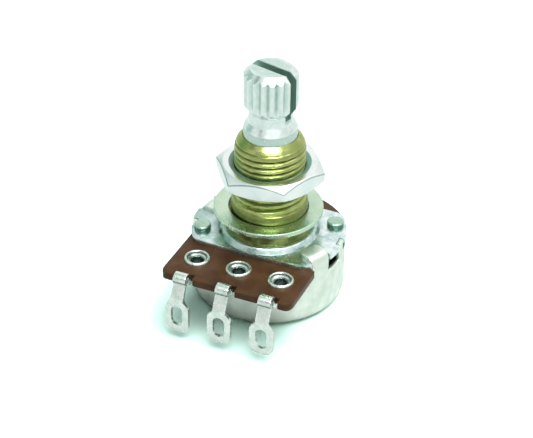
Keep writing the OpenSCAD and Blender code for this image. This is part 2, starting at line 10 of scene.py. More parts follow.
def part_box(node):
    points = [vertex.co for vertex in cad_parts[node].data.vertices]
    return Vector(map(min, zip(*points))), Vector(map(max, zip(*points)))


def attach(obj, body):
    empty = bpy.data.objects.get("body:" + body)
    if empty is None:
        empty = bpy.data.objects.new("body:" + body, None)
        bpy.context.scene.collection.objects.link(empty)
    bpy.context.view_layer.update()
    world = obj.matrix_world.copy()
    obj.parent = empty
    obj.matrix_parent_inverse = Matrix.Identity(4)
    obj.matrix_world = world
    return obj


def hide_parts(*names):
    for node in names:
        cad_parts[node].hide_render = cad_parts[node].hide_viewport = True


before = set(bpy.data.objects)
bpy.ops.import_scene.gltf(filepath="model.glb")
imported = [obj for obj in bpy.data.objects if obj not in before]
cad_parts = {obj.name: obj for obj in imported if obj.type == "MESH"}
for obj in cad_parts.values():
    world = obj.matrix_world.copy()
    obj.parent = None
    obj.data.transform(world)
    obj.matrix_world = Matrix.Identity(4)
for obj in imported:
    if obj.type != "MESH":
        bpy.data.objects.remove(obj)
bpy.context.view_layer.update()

# Rotary potentiometer, dressed round its imported solids. The dictionaries hold millimetres,
# degrees and tones, which are shares of a material's deep colour: painted shade, and the plate's
# dark seam. Shapes are worked out in millimetres and stored in metres.
mm = 0.001

# the photograph's view: where the camera stands round the part and how its horizon tilts
photoView = dict(azimuth=23.072, elevation=34.036, tilt=0.778, distance=180.0, lens=108.074,
                 sensor=36.0, target=(-0.297, -0.078, 8.769))


# a new object in the scene
def addObject(name, data):
    made = bpy.data.objects.new(name, data)
    bpy.context.collection.objects.link(made)
    return made


def makeCamera():
    az, el, tilt = (math.radians(photoView[k]) for k in ("azimuth", "elevation", "tilt"))
    back = Vector((math.sin(az) * math.cos(el), -math.cos(az) * math.cos(el), math.sin(el)))
    level = Vector((math.cos(az), math.sin(az), 0))
    up = back.cross(level)
    right = level * math.cos(tilt) + up * math.sin(tilt)
    up = up * math.cos(tilt) - level * math.sin(tilt)
    data = bpy.data.cameras.new("photoCamera")
    data.lens, data.sensor_width, data.sensor_fit = photoView["lens"], photoView["sensor"], "HORIZONTAL"
    data.clip_start, data.clip_end = 0.01, 5.0
    camera = addObject("photoCamera", data)
    place = (Vector(photoView["target"]) + back * photoView["distance"]) * mm
    camera.matrix_world = Matrix.Translation(place) @ Matrix((right, up, back)).transposed().to_4x4()
    bpy.context.scene.camera = camera


makeCamera()
print("camera: done")


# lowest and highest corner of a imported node, in millimetres
def span(node):
    low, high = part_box(node)
    return np.array(low) / mm, np.array(high) / mm


# unit directions in the plane, degrees from +X
def turn(degrees):
    a = np.radians(np.asarray(degrees, float))
    return np.stack([np.cos(a), np.sin(a)], -1)


# coordinates side by side; single values are repeated as often as the arrays need
def columns(*parts):
    return np.stack(np.broadcast_arrays(*parts), -1)


# points (r cos a, r sin a, z), the radii and heights spread over the angles
def polar(radii, angles, heights):
    flat = turn(angles) * np.asarray(radii)[..., None]
    return columns(flat[..., 0], flat[..., 1], heights)


# an arc of a circle about `centre`, from one angle to the other
def arc(radius, start, stop, steps, centre=(0, 0)):
    return np.array(centre) + radius * turn(np.linspace(start, stop, steps + 1))


# Each corner C becomes the parabola (1-t)^2 P + 2t(1-t) C + t^2 Q, where P and Q lie the
# corner's radius back along its two edges, at most half an edge. An open line's ends stay sharp,
# and each comes back as steps + 1 equal points.
def roundCorners(corners, radii, steps=4, closed=True):
    c = np.asarray(corners, float)
    radii = np.broadcast_to(np.asarray(radii, float), c.shape[:-1])
    ends = []
    for shift in (1, -1):
        arm = np.roll(c, shift, -2) - c
        size = np.linalg.norm(arm, axis=-1, keepdims=True) + 1e-9
        ends.append(c + arm / size * np.minimum(radii[..., None], size * 0.499))
    t = np.linspace(0, 1, steps + 1)[:, None]
    p, q, m = ends[0][..., None, :], ends[1][..., None, :], c[..., None, :]
    arcs = (1 - t) ** 2 * p + 2 * t * (1 - t) * m + t ** 2 * q
    if not closed:
        arcs[..., 0, :, :], arcs[..., -1, :, :] = c[..., :1, :], c[..., -1:, :]
    return arcs.reshape(c.shape[:-2] + (-1, 2))


# straight runs get points in between, so that no step is longer than `step`
def fillRuns(points, step):
    after = np.roll(points, -1, 0)
    out = []
    for k in range(len(points)):
        n = max(1, int(math.ceil(np.linalg.norm(after[k] - points[k]) / step)))
        out.append(points[k] + (after[k] - points[k]) * np.arange(n)[:, None] / n)
    return np.concatenate(out)


# quads of a grid of rows and columns; either way may close on itself, `keep` masks quads out
def gridFaces(rows, cols, rowsClose=False, colsClose=False, keep=None):
    i, j = np.meshgrid(np.arange(rows - (not rowsClose)), np.arange(cols - (not colsClose)),
                       indexing="ij")
    i2, j2 = (i + 1) % rows, (j + 1) % cols
    quads = np.stack([i * cols + j, i * cols + j2, i2 * cols + j2, i2 * cols + j], -1)
    return (quads.reshape(-1, 4) if keep is None else quads[keep]).tolist()


# surface of revolution (r cos a, r sin a, z) of a closed profile (r, z) round an upright axis
def revolve(profile, centre, around):
    return revolveArrays(np.broadcast_to(profile[:, 0], (around, len(profile))), profile[:, 1],
                         centre)


# the same with a radius of its own for each angle and profile point: radii is (around, K)
def revolveArrays(radii, heights, centre=(0, 0)):
    around = len(radii)
    points = polar(radii, np.arange(around)[:, None] * 360 / around, heights) + (*centre, 0)
    return points.reshape(-1, 3), gridFaces(*radii.shape, True, True)


# a flat sheet inside the first outline and outside the others: a triangulation that keeps their
# edges, of which those triangles stay whose middle has an odd number of edges to its right
def flatFaces(outlines, place):
    edges, start = [], 0
    for o in outlines:
        ring = np.arange(len(o)) + start
        edges += np.stack([ring, np.roll(ring, -1)], 1).tolist()
        start += len(o)
    made = delaunay_2d_cdt([Vector(p) for p in np.concatenate(outlines)], edges, [], 0, 1e-6)
    flat, faces = np.array([tuple(p) for p in made[0]]), np.array([tuple(f) for f in made[2]])
    middle = flat[faces].mean(1)[:, None, :]
    crossed = np.zeros(len(faces), int)
    for o in outlines:
        a, b = o[None], np.roll(o, -1, 0)[None]
        spans = (a[..., 1] > middle[..., 1]) != (b[..., 1] > middle[..., 1])
        along = (middle[..., 1] - a[..., 1]) * (b[..., 0] - a[..., 0])
        at = a[..., 0] + along / (b[..., 1] - a[..., 1] + 1e-12)
        crossed += (spans & (at > middle[..., 0])).sum(1)
    return place(flat), faces[crossed % 2 == 1].tolist()


# one mesh from parts that share edges: their points are stacked and welded later
def joinParts(parts):
    points, faces, start = [], [], 0
    for p, f in parts:
        points.append(p)
        faces += [[i + start for i in face] for face in f]
        start += len(p)
    return np.concatenate(points), faces


# Stores the mesh, welds seams and poles, gives sheets their wall and broken edges, and shades
# smooth up to the `sharp` angle. The wall grows against the faces' direction. `inside` turns the
# points into a share from 0 to 1, by which the material takes its darker colour of painted shade.
def makePiece(name, shape, body, material, replaced, wall=0, edge=0, sharp=32, outward=True,
              inside=None):
    points, faces = shape
    mesh = bpy.data.meshes.new(name)
    mesh.from_pydata((points * mm).tolist(), [], faces)
    bm = bmesh.new()
    bm.from_mesh(mesh)
    bmesh.ops.remove_doubles(bm, verts=bm.verts, dist=2e-4 * mm)
    bmesh.ops.dissolve_degenerate(bm, edges=bm.edges, dist=1e-4 * mm)
    if outward:
        bmesh.ops.recalc_face_normals(bm, faces=bm.faces)
    bm.to_mesh(mesh)
    bm.free()
    piece = addObject(name, mesh)
    if wall:
        solid = piece.modifiers.new("wall", "SOLIDIFY")
        solid.thickness, solid.offset, solid.use_even_offset = wall * mm, -1, True
    if edge:
        broken = piece.modifiers.new("edges", "BEVEL")
        broken.width, broken.segments = edge * mm, 2
        broken.limit_method, broken.angle_limit = "ANGLE", math.radians(40)
    if wall or edge:
        ready = piece.evaluated_get(bpy.context.evaluated_depsgraph_get())
        piece.data = bpy.data.meshes.new_from_object(ready)
        piece.modifiers.clear()
    piece.data.polygons.foreach_set("use_smooth", np.ones(len(piece.data.polygons), bool))
    piece.data.set_sharp_from_angle(angle=math.radians(sharp))
    if inside:
        where = np.zeros(len(piece.data.vertices) * 3, np.float32)
        piece.data.vertices.foreach_get("co", where)
        share = piece.data.attributes.new("inside", "FLOAT", "POINT")
        values = np.clip(inside(where.reshape(-1, 3) / mm), 0, 1)
        share.data.foreach_set("value", values.astype(np.float32))
    piece.data.materials.clear()
    piece.data.materials.append(material)
    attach(piece, body)
    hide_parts(*replaced)


# sRGB hex to the linear colour that the shaders take
def paint(code):
    s = np.array([int(code[k:k + 2], 16) for k in (1, 3, 5)]) / 255
    return (*np.where(s <= 0.04045, s / 12.92, ((s + 0.055) / 1.055) ** 2.4), 1.0)


# adds a node with its settings; an input is a value or the output it is linked from
def addNode(tree, kind, inputs=None, **settings):
    made = tree.nodes.new("ShaderNode" + kind)
    for key, value in settings.items():
        if key == "stops":
            ramp = made.color_ramp.elements
            while len(ramp) < len(value):
                ramp.new(0.5)
            for stop, (place, colour) in zip(ramp, value):
                stop.position, stop.color = place, paint(colour)
        else:
            setattr(made, key, value)
    for key, value in (inputs or {}).items():
        if isinstance(value, bpy.types.NodeSocket):
            tree.links.new(value, made.inputs[key])
        else:
            made.inputs[key].default_value = value
    return made


# the emptied node tree of a material or world
def emptyTree(owner):
    owner.use_nodes = True
    owner.node_tree.nodes.clear()
    return owner.node_tree


# a new material, its tree, and the place on the piece that its patterns go by
def startMaterial(name):
    material = bpy.data.materials.new(name)
    tree = emptyTree(material)
    return material, tree, addNode(tree, "TexCoord").outputs["Object"]


# the surface shader and the output that end a material
def endMaterial(tree, inputs):
    shader = addNode(tree, "BsdfPrincipled", inputs)
    addNode(tree, "OutputMaterial", {"Surface": shader.outputs[0]})


# a value that ran from 0 to 1 then runs from low to high
def stretch(tree, value, low, high):
    return addNode(tree, "MapRange", {"Value": value, "To Min": low, "To Max": high}).outputs[0]


# two colours mixed by a share
def mixOf(tree, share, first, second, **settings):
    return addNode(tree, "Mix", {0: share, 6: first, 7: second}, data_type="RGBA",
                   **settings).outputs[2]


# the fine relief of a pattern, `depth` millimetres deep
def bumpOf(tree, height, depth):
    return addNode(tree, "Bump", {"Height": height, "Distance": depth * mm,
                                  "Strength": 1.0}).outputs[0]


# noise whose blotches are about `size` millimetres across
def noiseOf(tree, where, size, detail=3.0):
    return addNode(tree, "TexNoise", {"Vector": where, "Scale": 1 / (size * mm), "Detail": detail,
                                      "Roughness": 0.55}).outputs[0]


# (distance from the shaft's axis, height): a pattern on it runs round the piece as lathe marks do
def lathePlace(tree, where):
    parts = addNode(tree, "SeparateXYZ", {0: where})
    flat = addNode(tree, "CombineXYZ", {"X": parts.outputs["X"], "Y": parts.outputs["Y"]})
    out = addNode(tree, "VectorMath", {0: flat.outputs[0]}, operation="LENGTH")
    return addNode(tree, "CombineXYZ", {"X": out.outputs["Value"], "Y": parts.outputs["Z"]}).outputs[0]


# A bare or plated metal: cloudy two-tone colour, roughness that wanders between two values,
# and a fine relief, either grainy or in lathe rings. Places marked on the mesh as shaded, such as
# bores, slots and grooves, take the darker, less metallic `deep` colour: this is painted shade.
def metalFinish(name, light, dark, rough, cloud, grain, relief, turned=False, cloudy=(0.35, 0.7),
                deep="#808080", shadeMetallic=0.55):
    material, tree, where = startMaterial(name)
    tone = addNode(tree, "ValToRGB", {"Fac": noiseOf(tree, where, cloud, 4.0)},
                   stops=[(cloudy[0], dark), (cloudy[1], light)])
    marked = addNode(tree, "Attribute", attribute_name="inside").outputs["Fac"]
    fine = noiseOf(tree, lathePlace(tree, where) if turned else where, grain, 3.0)
    endMaterial(tree, {"Base Color": mixOf(tree, marked, tone.outputs[0], paint(deep)),
                       "Metallic": stretch(tree, marked, 1.0, shadeMetallic),
                       "Roughness": stretch(tree, noiseOf(tree, where, cloud / 3, 2.0), *rough),
                       "Normal": bumpOf(tree, fine, relief)})
    return material


# zinc-plated drawn steel: silvery white with a faint bloom, satin where the sheet was stretched
zincCan = metalFinish("zincPlatedSteelDrawn", "#eaf2e9", "#d0dfd2", (0.3, 0.46), 1.4, 0.1, 0.004)
# the front plate is the same sheet left brighter, with faint blue-green mottling in the plating, and
# painted shade round the boss's foot and towards the left
zincPlate = metalFinish("zincPlatedSteelStamped", "#e9f3f2", "#b9d6d3", (0.18, 0.32), 0.9, 0.3,
                        0.0015, cloudy=(0.34, 0.6), deep="#6f9c8b")
# bright nickel on a pressed washer: close to a mirror, faintly green-grey
nickelWasher = metalFinish("nickelPlatedSteelWasher", "#cfe3cb", "#b7d2b9", (0.22, 0.32), 3.0, 0.3,
                           0.001)
# bright nickel on the turned hexagon nut: the lightest metal here, with painted shade in the
# countersinks and on the facet along the upper chamfer
nickelNut = metalFinish("nickelPlatedNut", "#eef3f2", "#dde8e6", (0.2, 0.3), 2.5, 0.1, 0.001,
                        turned=True, deep="#7fa697", shadeMetallic=0.15)
# turned brass: olive gold, fine lathe rings, with painted shade at the bottom of the thread
turnedBrass = metalFinish("turnedBrass", "#b3be7c", "#95a45d", (0.2, 0.3), 1.6, 0.05, 0.001,
                          turned=True, deep="#6c7034")
# turned and milled aluminium shaft: pale, with lathe rings and soft gloss, and painted shade in the saw
# cut, the grooves and below the collar
turnedShaft = metalFinish("turnedAluminium", "#ebf2f0", "#d3e3de", (0.16, 0.32), 0.7, 0.08, 0.003,
                          turned=True, deep="#a9cabd")
# tin over stamped brass: soft bright skin with a slightly wavy, solder-like surface; its deep colour is
# painted shade in the eyelets and the terminals' creases
tinnedBrass = metalFinish("tinnedStampedBrass", "#e6efe9", "#cfddd5", (0.2, 0.34), 0.8, 0.5, 0.0012,
                          deep="#4c5f58")
# the rivets' tin is a darker green-grey; its deep colour is the painted shade round the heads' sides
rivetTin = metalFinish("greyTinOverBrass", "#bdd6c5", "#9dbfab", (0.2, 0.36), 0.6, 0.3, 0.002,
                       deep="#46756b")
# plain spring steel of the retaining ring: grey and fairly dull
springSteel = metalFinish("springSteel", "#9a9ea2", "#84888c", (0.3, 0.42), 1.5, 0.1, 0.003)
# phosphor bronze of the wiper: warm, bright from rolling
springBronze = metalFinish("rolledPhosphorBronze", "#d2a873", "#bd9161", (0.22, 0.32), 1.2, 0.1, 0.002)


# punched phenolic paper board: satin red-brown resin, cloudy, with paper fibre showing finely
def phenolicBoard():
    material, tree, where = startMaterial("punchedPhenolicBoard")
    cloud = addNode(tree, "ValToRGB", {"Fac": noiseOf(tree, where, 2.6, 3.0)},
                    stops=[(0.32, "#48301e"), (0.7, "#64452b")])
    fibre = noiseOf(tree, where, 0.14, 2.0)
    fleck = addNode(tree, "ValToRGB", {"Fac": fibre}, stops=[(0.35, "#9a9a9a"), (0.65, "#ffffff")])
    mixed = mixOf(tree, 0.35, cloud.outputs[0], fleck.outputs[0], blend_type="MULTIPLY")
    endMaterial(tree, {"Base Color": mixed, "Roughness": stretch(tree, fibre, 0.3, 0.46),
                       "Normal": bumpOf(tree, fibre, 0.008), "IOR": 1.5,
                       "Specular IOR Level": 0.16})
    return material


# a plain dull material with a fine grain, for what hardly shows inside the can
def plainFinish(name, light, dark, rough, size, metallic=0.0):
    material, tree, where = startMaterial(name)
    grain = noiseOf(tree, where, size)
    tone = addNode(tree, "ValToRGB", {"Fac": grain}, stops=[(0.35, dark), (0.65, light)])
    endMaterial(tree, {"Base Color": tone.outputs[0], "Metallic": metallic,
                       "Roughness": stretch(tree, grain, rough - 0.06, rough + 0.06)})
    return material


board = phenolicBoard()
# printed carbon ink: near black, eggshell
carbonInk = plainFinish("printedCarbonInk", "#2b2b2c", "#1b1b1c", 0.5, 0.2)
# printed silver ink: pale grey with a metallic fleck
silverInk = plainFinish("printedSilverInk", "#c9c6c0", "#aeaaa4", 0.42, 0.15, 0.7)
# moulded glass-filled nylon of the rotor: black-brown, dull
mouldedNylon = plainFinish("mouldedNylon", "#2c2926", "#211f1d", 0.5, 0.3)
print("materials: done")

# the bushing, turned from one brass bar: tail, flange, smooth shoulder, thread, chamfered mouth
bushing = dict(boreGap=0.04, crest=3.95, pitch=0.75, threadDepth=0.3, grooveWidth=0.46,
               threadStart=81, shoulder=4.33, shoulderHeight=1.42, shoulderRound=0.6, runOut=0.75,
               runOutRound=0.5, fadeHeight=0.3, lead=0.91, leadRound=0.9, mouthRound=0.06, tail=3.85,
               stake=4.5, stakeHeight=0.4, tailRound=0.05, seatRound=0.02, flangeRound=0.1,
               footRound=0.04, shoulderShadeTone=0.6, shadeFrom=0.3, shadeOver=0.5, around=180, step=0.045)


# Profile turned round the axis. Above the shoulder the radius is the smaller of the profile's own
# and max(profile, crest) - fade * depth * max(0, 1 - d / (width / 2)), d being the height above or
# below the groove's middle, which climbs one pitch each turn. The fade grows up the run-out cone.
def makeBushing():
    b = bushing
    low, high = span("bushing")
    seat = span("front_plate")[1][2]
    flangeTop = span("flat_washer")[0][2]
    bore = span("shaft")[1][0] + b["boreGap"]
    stakeTop = low[2] + b["stakeHeight"]
    shoulderTop = flangeTop + b["shoulderHeight"]
    threadFoot = shoulderTop + b["runOut"]
    threadEnd = high[2] - b["lead"]
    corners = [(bore, low[2]), (b["stake"], low[2]), (b["stake"], stakeTop), (b["tail"], stakeTop),
               (b["tail"], seat), (high[0], seat), (high[0], flangeTop), (b["shoulder"], flangeTop),
               (b["shoulder"], shoulderTop), (b["crest"], threadFoot), (b["crest"], threadEnd),
               (bore, high[2])]
    sizes = [b[k + "Round"] for k in ("tail", "tail", "tail", "seat", "seat", "flange", "flange",
                                      "foot", "shoulder", "runOut", "lead", "mouth")]
    profile = fillRuns(roundCorners(corners, sizes, 4), b["step"])
    angle = np.arange(b["around"])[:, None] * 360 / b["around"]
    r, z = profile[None, :, 0], profile[None, :, 1]
    first = threadEnd - b["pitch"] / 2
    climb = (z - first) / b["pitch"] - (angle - b["threadStart"]) / 360
    off = np.abs((climb + 0.5) % 1 - 0.5) * b["pitch"]
    fade = np.clip((z - shoulderTop) / b["fadeHeight"], 0, 1)
    deep = b["threadDepth"] * np.clip(1 - 2 * off / b["grooveWidth"], 0, 1) * fade
    outside = (z > shoulderTop) & (r > bore + 0.02)
    radii = np.where(outside, np.minimum(r, np.maximum(r, b["crest"]) - deep), r)

    # painted shade: 1 at the bottom of the groove, and the shoulder below the thread takes a lesser
    # share
    def paintedGrooveShade(p):
        threaded = (p[:, 2] > threadFoot) & (p[:, 2] < threadEnd)
        r = np.linalg.norm(p[:, :2], axis=1)
        groove = threaded * (r > bore + 0.1) * (b["crest"] - r) / b["threadDepth"]
        below = np.clip((threadFoot - b["shadeFrom"] - p[:, 2]) / b["shadeOver"], 0, 1)
        return groove + b["shoulderShadeTone"] * below

    makePiece("threadedBushing", revolveArrays(radii, profile[:, 1]), "housing", turnedBrass,
              ["bushing"], sharp=40, inside=paintedGrooveShade)


makeBushing()

# the nut, turned from hexagon bar and chamfered on both faces
nut = dict(bore=4.0, sink=0.6, sinkDepth=0.26, face=5.25, chamfer=0.6, corner=7.3, cornerRound=0.16,
           edge=0.05, facet=0.1, facetDrop=0.086, facetRound=0.02, facetShadeTone=0.7,
           facetShadeMark=(0.004, 0.0884), sinkShadeMark=(0.06, 0.012))


# Columns stand at the points of a hexagon with blunt corners. Each column is the section's ring:
# bore, countersink, flat face, a cone at top - slope * (R - face), a narrow facet where the cone
# meets the flat, then the lower cone, face and countersink.
def makeNut():
    n = nut
    low, high = span("hex_nut")
    six = turn(n["corner"] + 60 * np.arange(6))
    corner = high[0] / max(abs(six[:, 0]))
    outline = fillRuns(roundCorners(corner * six, n["cornerRound"], 4), 0.25)
    reach = np.linalg.norm(outline, axis=1)
    slope = n["chamfer"] / (corner - n["face"])
    fall = slope * (reach - n["face"])
    mouth = n["bore"] + n["sink"]
    bottom, top = low[2], high[2]
    flat = np.ones_like(reach)
    section = [(flat * n["bore"], flat * (bottom + n["sinkDepth"])),
               (flat * n["bore"], flat * (top - n["sinkDepth"])),
               (flat * mouth, flat * top), (flat * n["face"], flat * top),
               (reach - n["facet"], top - fall + slope * n["facet"]),
               (reach, top - fall - n["facetDrop"]), (reach, bottom + fall),
               (flat * n["face"], flat * bottom), (flat * mouth, flat * bottom)]
    sizes = np.full(len(section), n["edge"])
    sizes[4:6] = n["facetRound"]
    ring = roundCorners(np.stack([columns(*c) for c in section], 1), sizes, 3)
    around = (outline / reach[:, None])[:, None, :] * ring[..., :1]
    points = np.concatenate([around, ring[..., 1:]], -1)
    rows, cols = points.shape[:2]

    # painted shade: the countersinks are 1, and the facet along the upper cone's edge is less
    def shade(p):
        r = np.linalg.norm(p[:, :2], axis=1)
        wide, deep = n["sinkShadeMark"]
        sunk = (r < mouth + wide) & (np.abs(p[:, 2] - (top + bottom) / 2) < (top - bottom) / 2 - deep)
        below = top - slope * (r - n["face"]) - p[:, 2]
        facet = (r > n["face"]) * (below > n["facetShadeMark"][0]) * (below < n["facetShadeMark"][1])
        return sunk + n["facetShadeTone"] * facet

    makePiece("hexagonNut", (points.reshape(-1, 3), gridFaces(rows, cols, True, True)), "nut",
              nickelNut, ["hex_nut"], sharp=22, inside=shade)


makeNut()
print("bushing and nut: done")


# rings and pins that are plain turned shapes: a closed profile round the axis of each
def turnedPiece(name, corners, radii, centre, node, body, material, around=96, inside=None):
    shape = revolve(roundCorners(corners, radii, 5), centre, around)
    makePiece(name, shape, body, material, [node], inside=inside)


# the pressed washer: one edge is rounder, from the punch
washer = dict(band=1.7, punched=0.12, burr=0.04)


def makeWasher():
    low, high = span("flat_washer")
    centre = (low + high)[:2] / 2
    outer = (high - low)[0] / 2
    inner = outer - washer["band"]
    corners = [(inner, low[2]), (outer, low[2]), (outer, high[2]), (inner, high[2])]
    sizes = [washer["burr"], washer["burr"], washer["punched"], washer["punched"]]
    turnedPiece("pressedWasher", corners, sizes, centre, "flat_washer", "housing", nickelWasher,
                160)


makeWasher()

# rivets that hold plate and board: flat heads with soft rims, and painted shade round the side
rivet = dict(shank=0.7, shankRound=0.05, head=0.04, dome=0.06, rim=0.16, canSheet=0.45,
             sideShadeTone=0.85, sideShare=0.7)


def makeRivet(node):
    v = rivet
    low, high = span(node)
    centre = (low + high)[:2] / 2
    head = (high - low)[0] / 2
    seat = span("rear_can")[1][2] - v["canSheet"]
    corners = [(0, low[2]), (v["shank"], low[2]), (v["shank"], seat), (head, seat),
               (head, high[2] - v["dome"]), (0, high[2])]
    sizes = [0, v["shankRound"], 0, v["head"], v["rim"], 0]
    sideTop = high[2] - v["dome"] - v["rim"] * v["sideShare"]
    turnedPiece(node.replace("plate_rivet", "rivetHead"), corners, sizes, centre, node, "housing",
                rivetTin, 48, inside=lambda p: v["sideShadeTone"] * (p[:, 2] < sideTop))


for side in ("left", "right"):
    makeRivet("plate_rivet_" + side)

# eyelets: tube with a rolled, stepped rim above the board and a spread foot below it
eyelet = dict(hole=0.72, barrel=0.975, rim=0.3125, out=1.45, crown=1.26, step=1.08, stepHeight=0.06,
              funnel=0.12, lipWidth=0.12, lipHeight=0.15, boreEnd=0.1, foot=1.3, footHeight=0.2,
              facets=6, facetDepth=0.05, facetFade=0.4, around=72, stepShadeTone=0.9, stepShadeWidth=0.06,
              holeShadeFade=0.08)


# From outside in, the rim is a quarter ellipse up to the crown, one down to the step, and a lip into
# the bore. The bore is pressed into shallow facets that fade towards the rim:
# radius = hole - depth * |cos(facets * a / 2)|
def makeEyelet(node):
    e = eyelet
    low, high = span(node)
    centre = (low + high)[:2] / 2
    boardTop = high[2] - e["rim"]
    neck = boardTop - e["funnel"]
    footTop = low[2] + e["footHeight"]
    crown, step, hole = e["crown"], e["step"], e["hole"]
    roll = np.concatenate([
        (crown, boardTop) + turn(np.linspace(0, 90, 7)) * (e["out"] - crown, e["rim"]),
        (crown, boardTop + e["stepHeight"])
        + turn(np.linspace(90, 180, 7)[1:]) * (crown - step, e["rim"] - e["stepHeight"]),
        (hole, neck - e["lipHeight"])
        + turn(np.linspace(75, 0, 6)) * (e["lipWidth"], e["lipHeight"])])
    tube = [(hole, neck - e["boreEnd"]), (hole, low[2] + e["boreEnd"]), (hole, low[2]),
            (e["foot"], low[2]), (e["foot"], footTop), (e["barrel"], footTop),
            (e["barrel"], boardTop)]
    profile = fillRuns(np.concatenate([roll, tube]), 0.25)
    angle = np.arange(e["around"])[:, None] * 2 * np.pi / e["around"]
    inBore = (profile[:, 0] < hole + 0.01) * np.clip((neck - profile[:, 1]) / e["facetFade"], 0, 1)
    pressed = e["facetDepth"] * np.abs(np.cos(e["facets"] * angle / 2)) * inBore
    shape = revolveArrays(profile[:, 0] - pressed, profile[:, 1], centre)

    # painted shade on the step's ring and in the bore
    def paintedStepShade(p):
        r = np.linalg.norm(p[:, :2] - centre, axis=1)
        ring = e["stepShadeTone"] * np.exp(-((r - step) / e["stepShadeWidth"]) ** 2)
        return ring + np.clip((hole + e["lipWidth"] - r) / e["holeShadeFade"], 0, 1)

    makePiece(node.replace("eyelet_", "eyeletRim_"), shape, "housing", tinnedBrass, [node],
              sharp=30, inside=paintedStepShade)


for side in ("left", "center", "right"):
    makeEyelet("eyelet_" + side)
print("washer, rivets, eyelets: done")

# the shaft: turned bar, 18 V grooves with nearly pointed lands, and a saw cut across the end
shaft = dict(grooves=18, grooveDepth=0.32, grooveHalf=7.7, tipChamfer=0.7, footHeight=0.8,
             splineLength=5.05, waist=2.4, waistHeight=0.5, edge=2.55, neckHeight=0.65,
             slopeHeight=0.85, slopeRound=0.15, neckRound=0.12, slotWidth=1.0, slotDepth=5.55,
             slotTurn=-14.5, slotEdge=0.06, clipNeck=2.6, clipZ=(6.9, 7.4), footChamfer=0.15,
             grooveShadeTone=0.5, neckShadeTone=0.6)


# Radius at an angle from the slot and a height: the smaller of the turned profile and
# r - depth * (1 - |a - a_k| / half), where a_k is the nearest groove.
def shaftRadius(angle, z, r, top):
    s = shaft
    start = top - s["splineLength"]
    heights = [start - s["waistHeight"], start, start + s["footHeight"], top - s["tipChamfer"], top]
    turned = np.interp(z, heights, [s["waist"], s["waist"], r, r, r - s["tipChamfer"]])
    pitch = 360 / s["grooves"]
    off = np.abs((np.asarray(angle) + pitch / 2) % pitch - pitch / 2)
    cut = s["grooveDepth"] * np.clip(1 - off / s["grooveHalf"], 0, 1)
    return np.where(np.asarray(z) > start - 1e-6, np.minimum(turned, r - cut), turned)


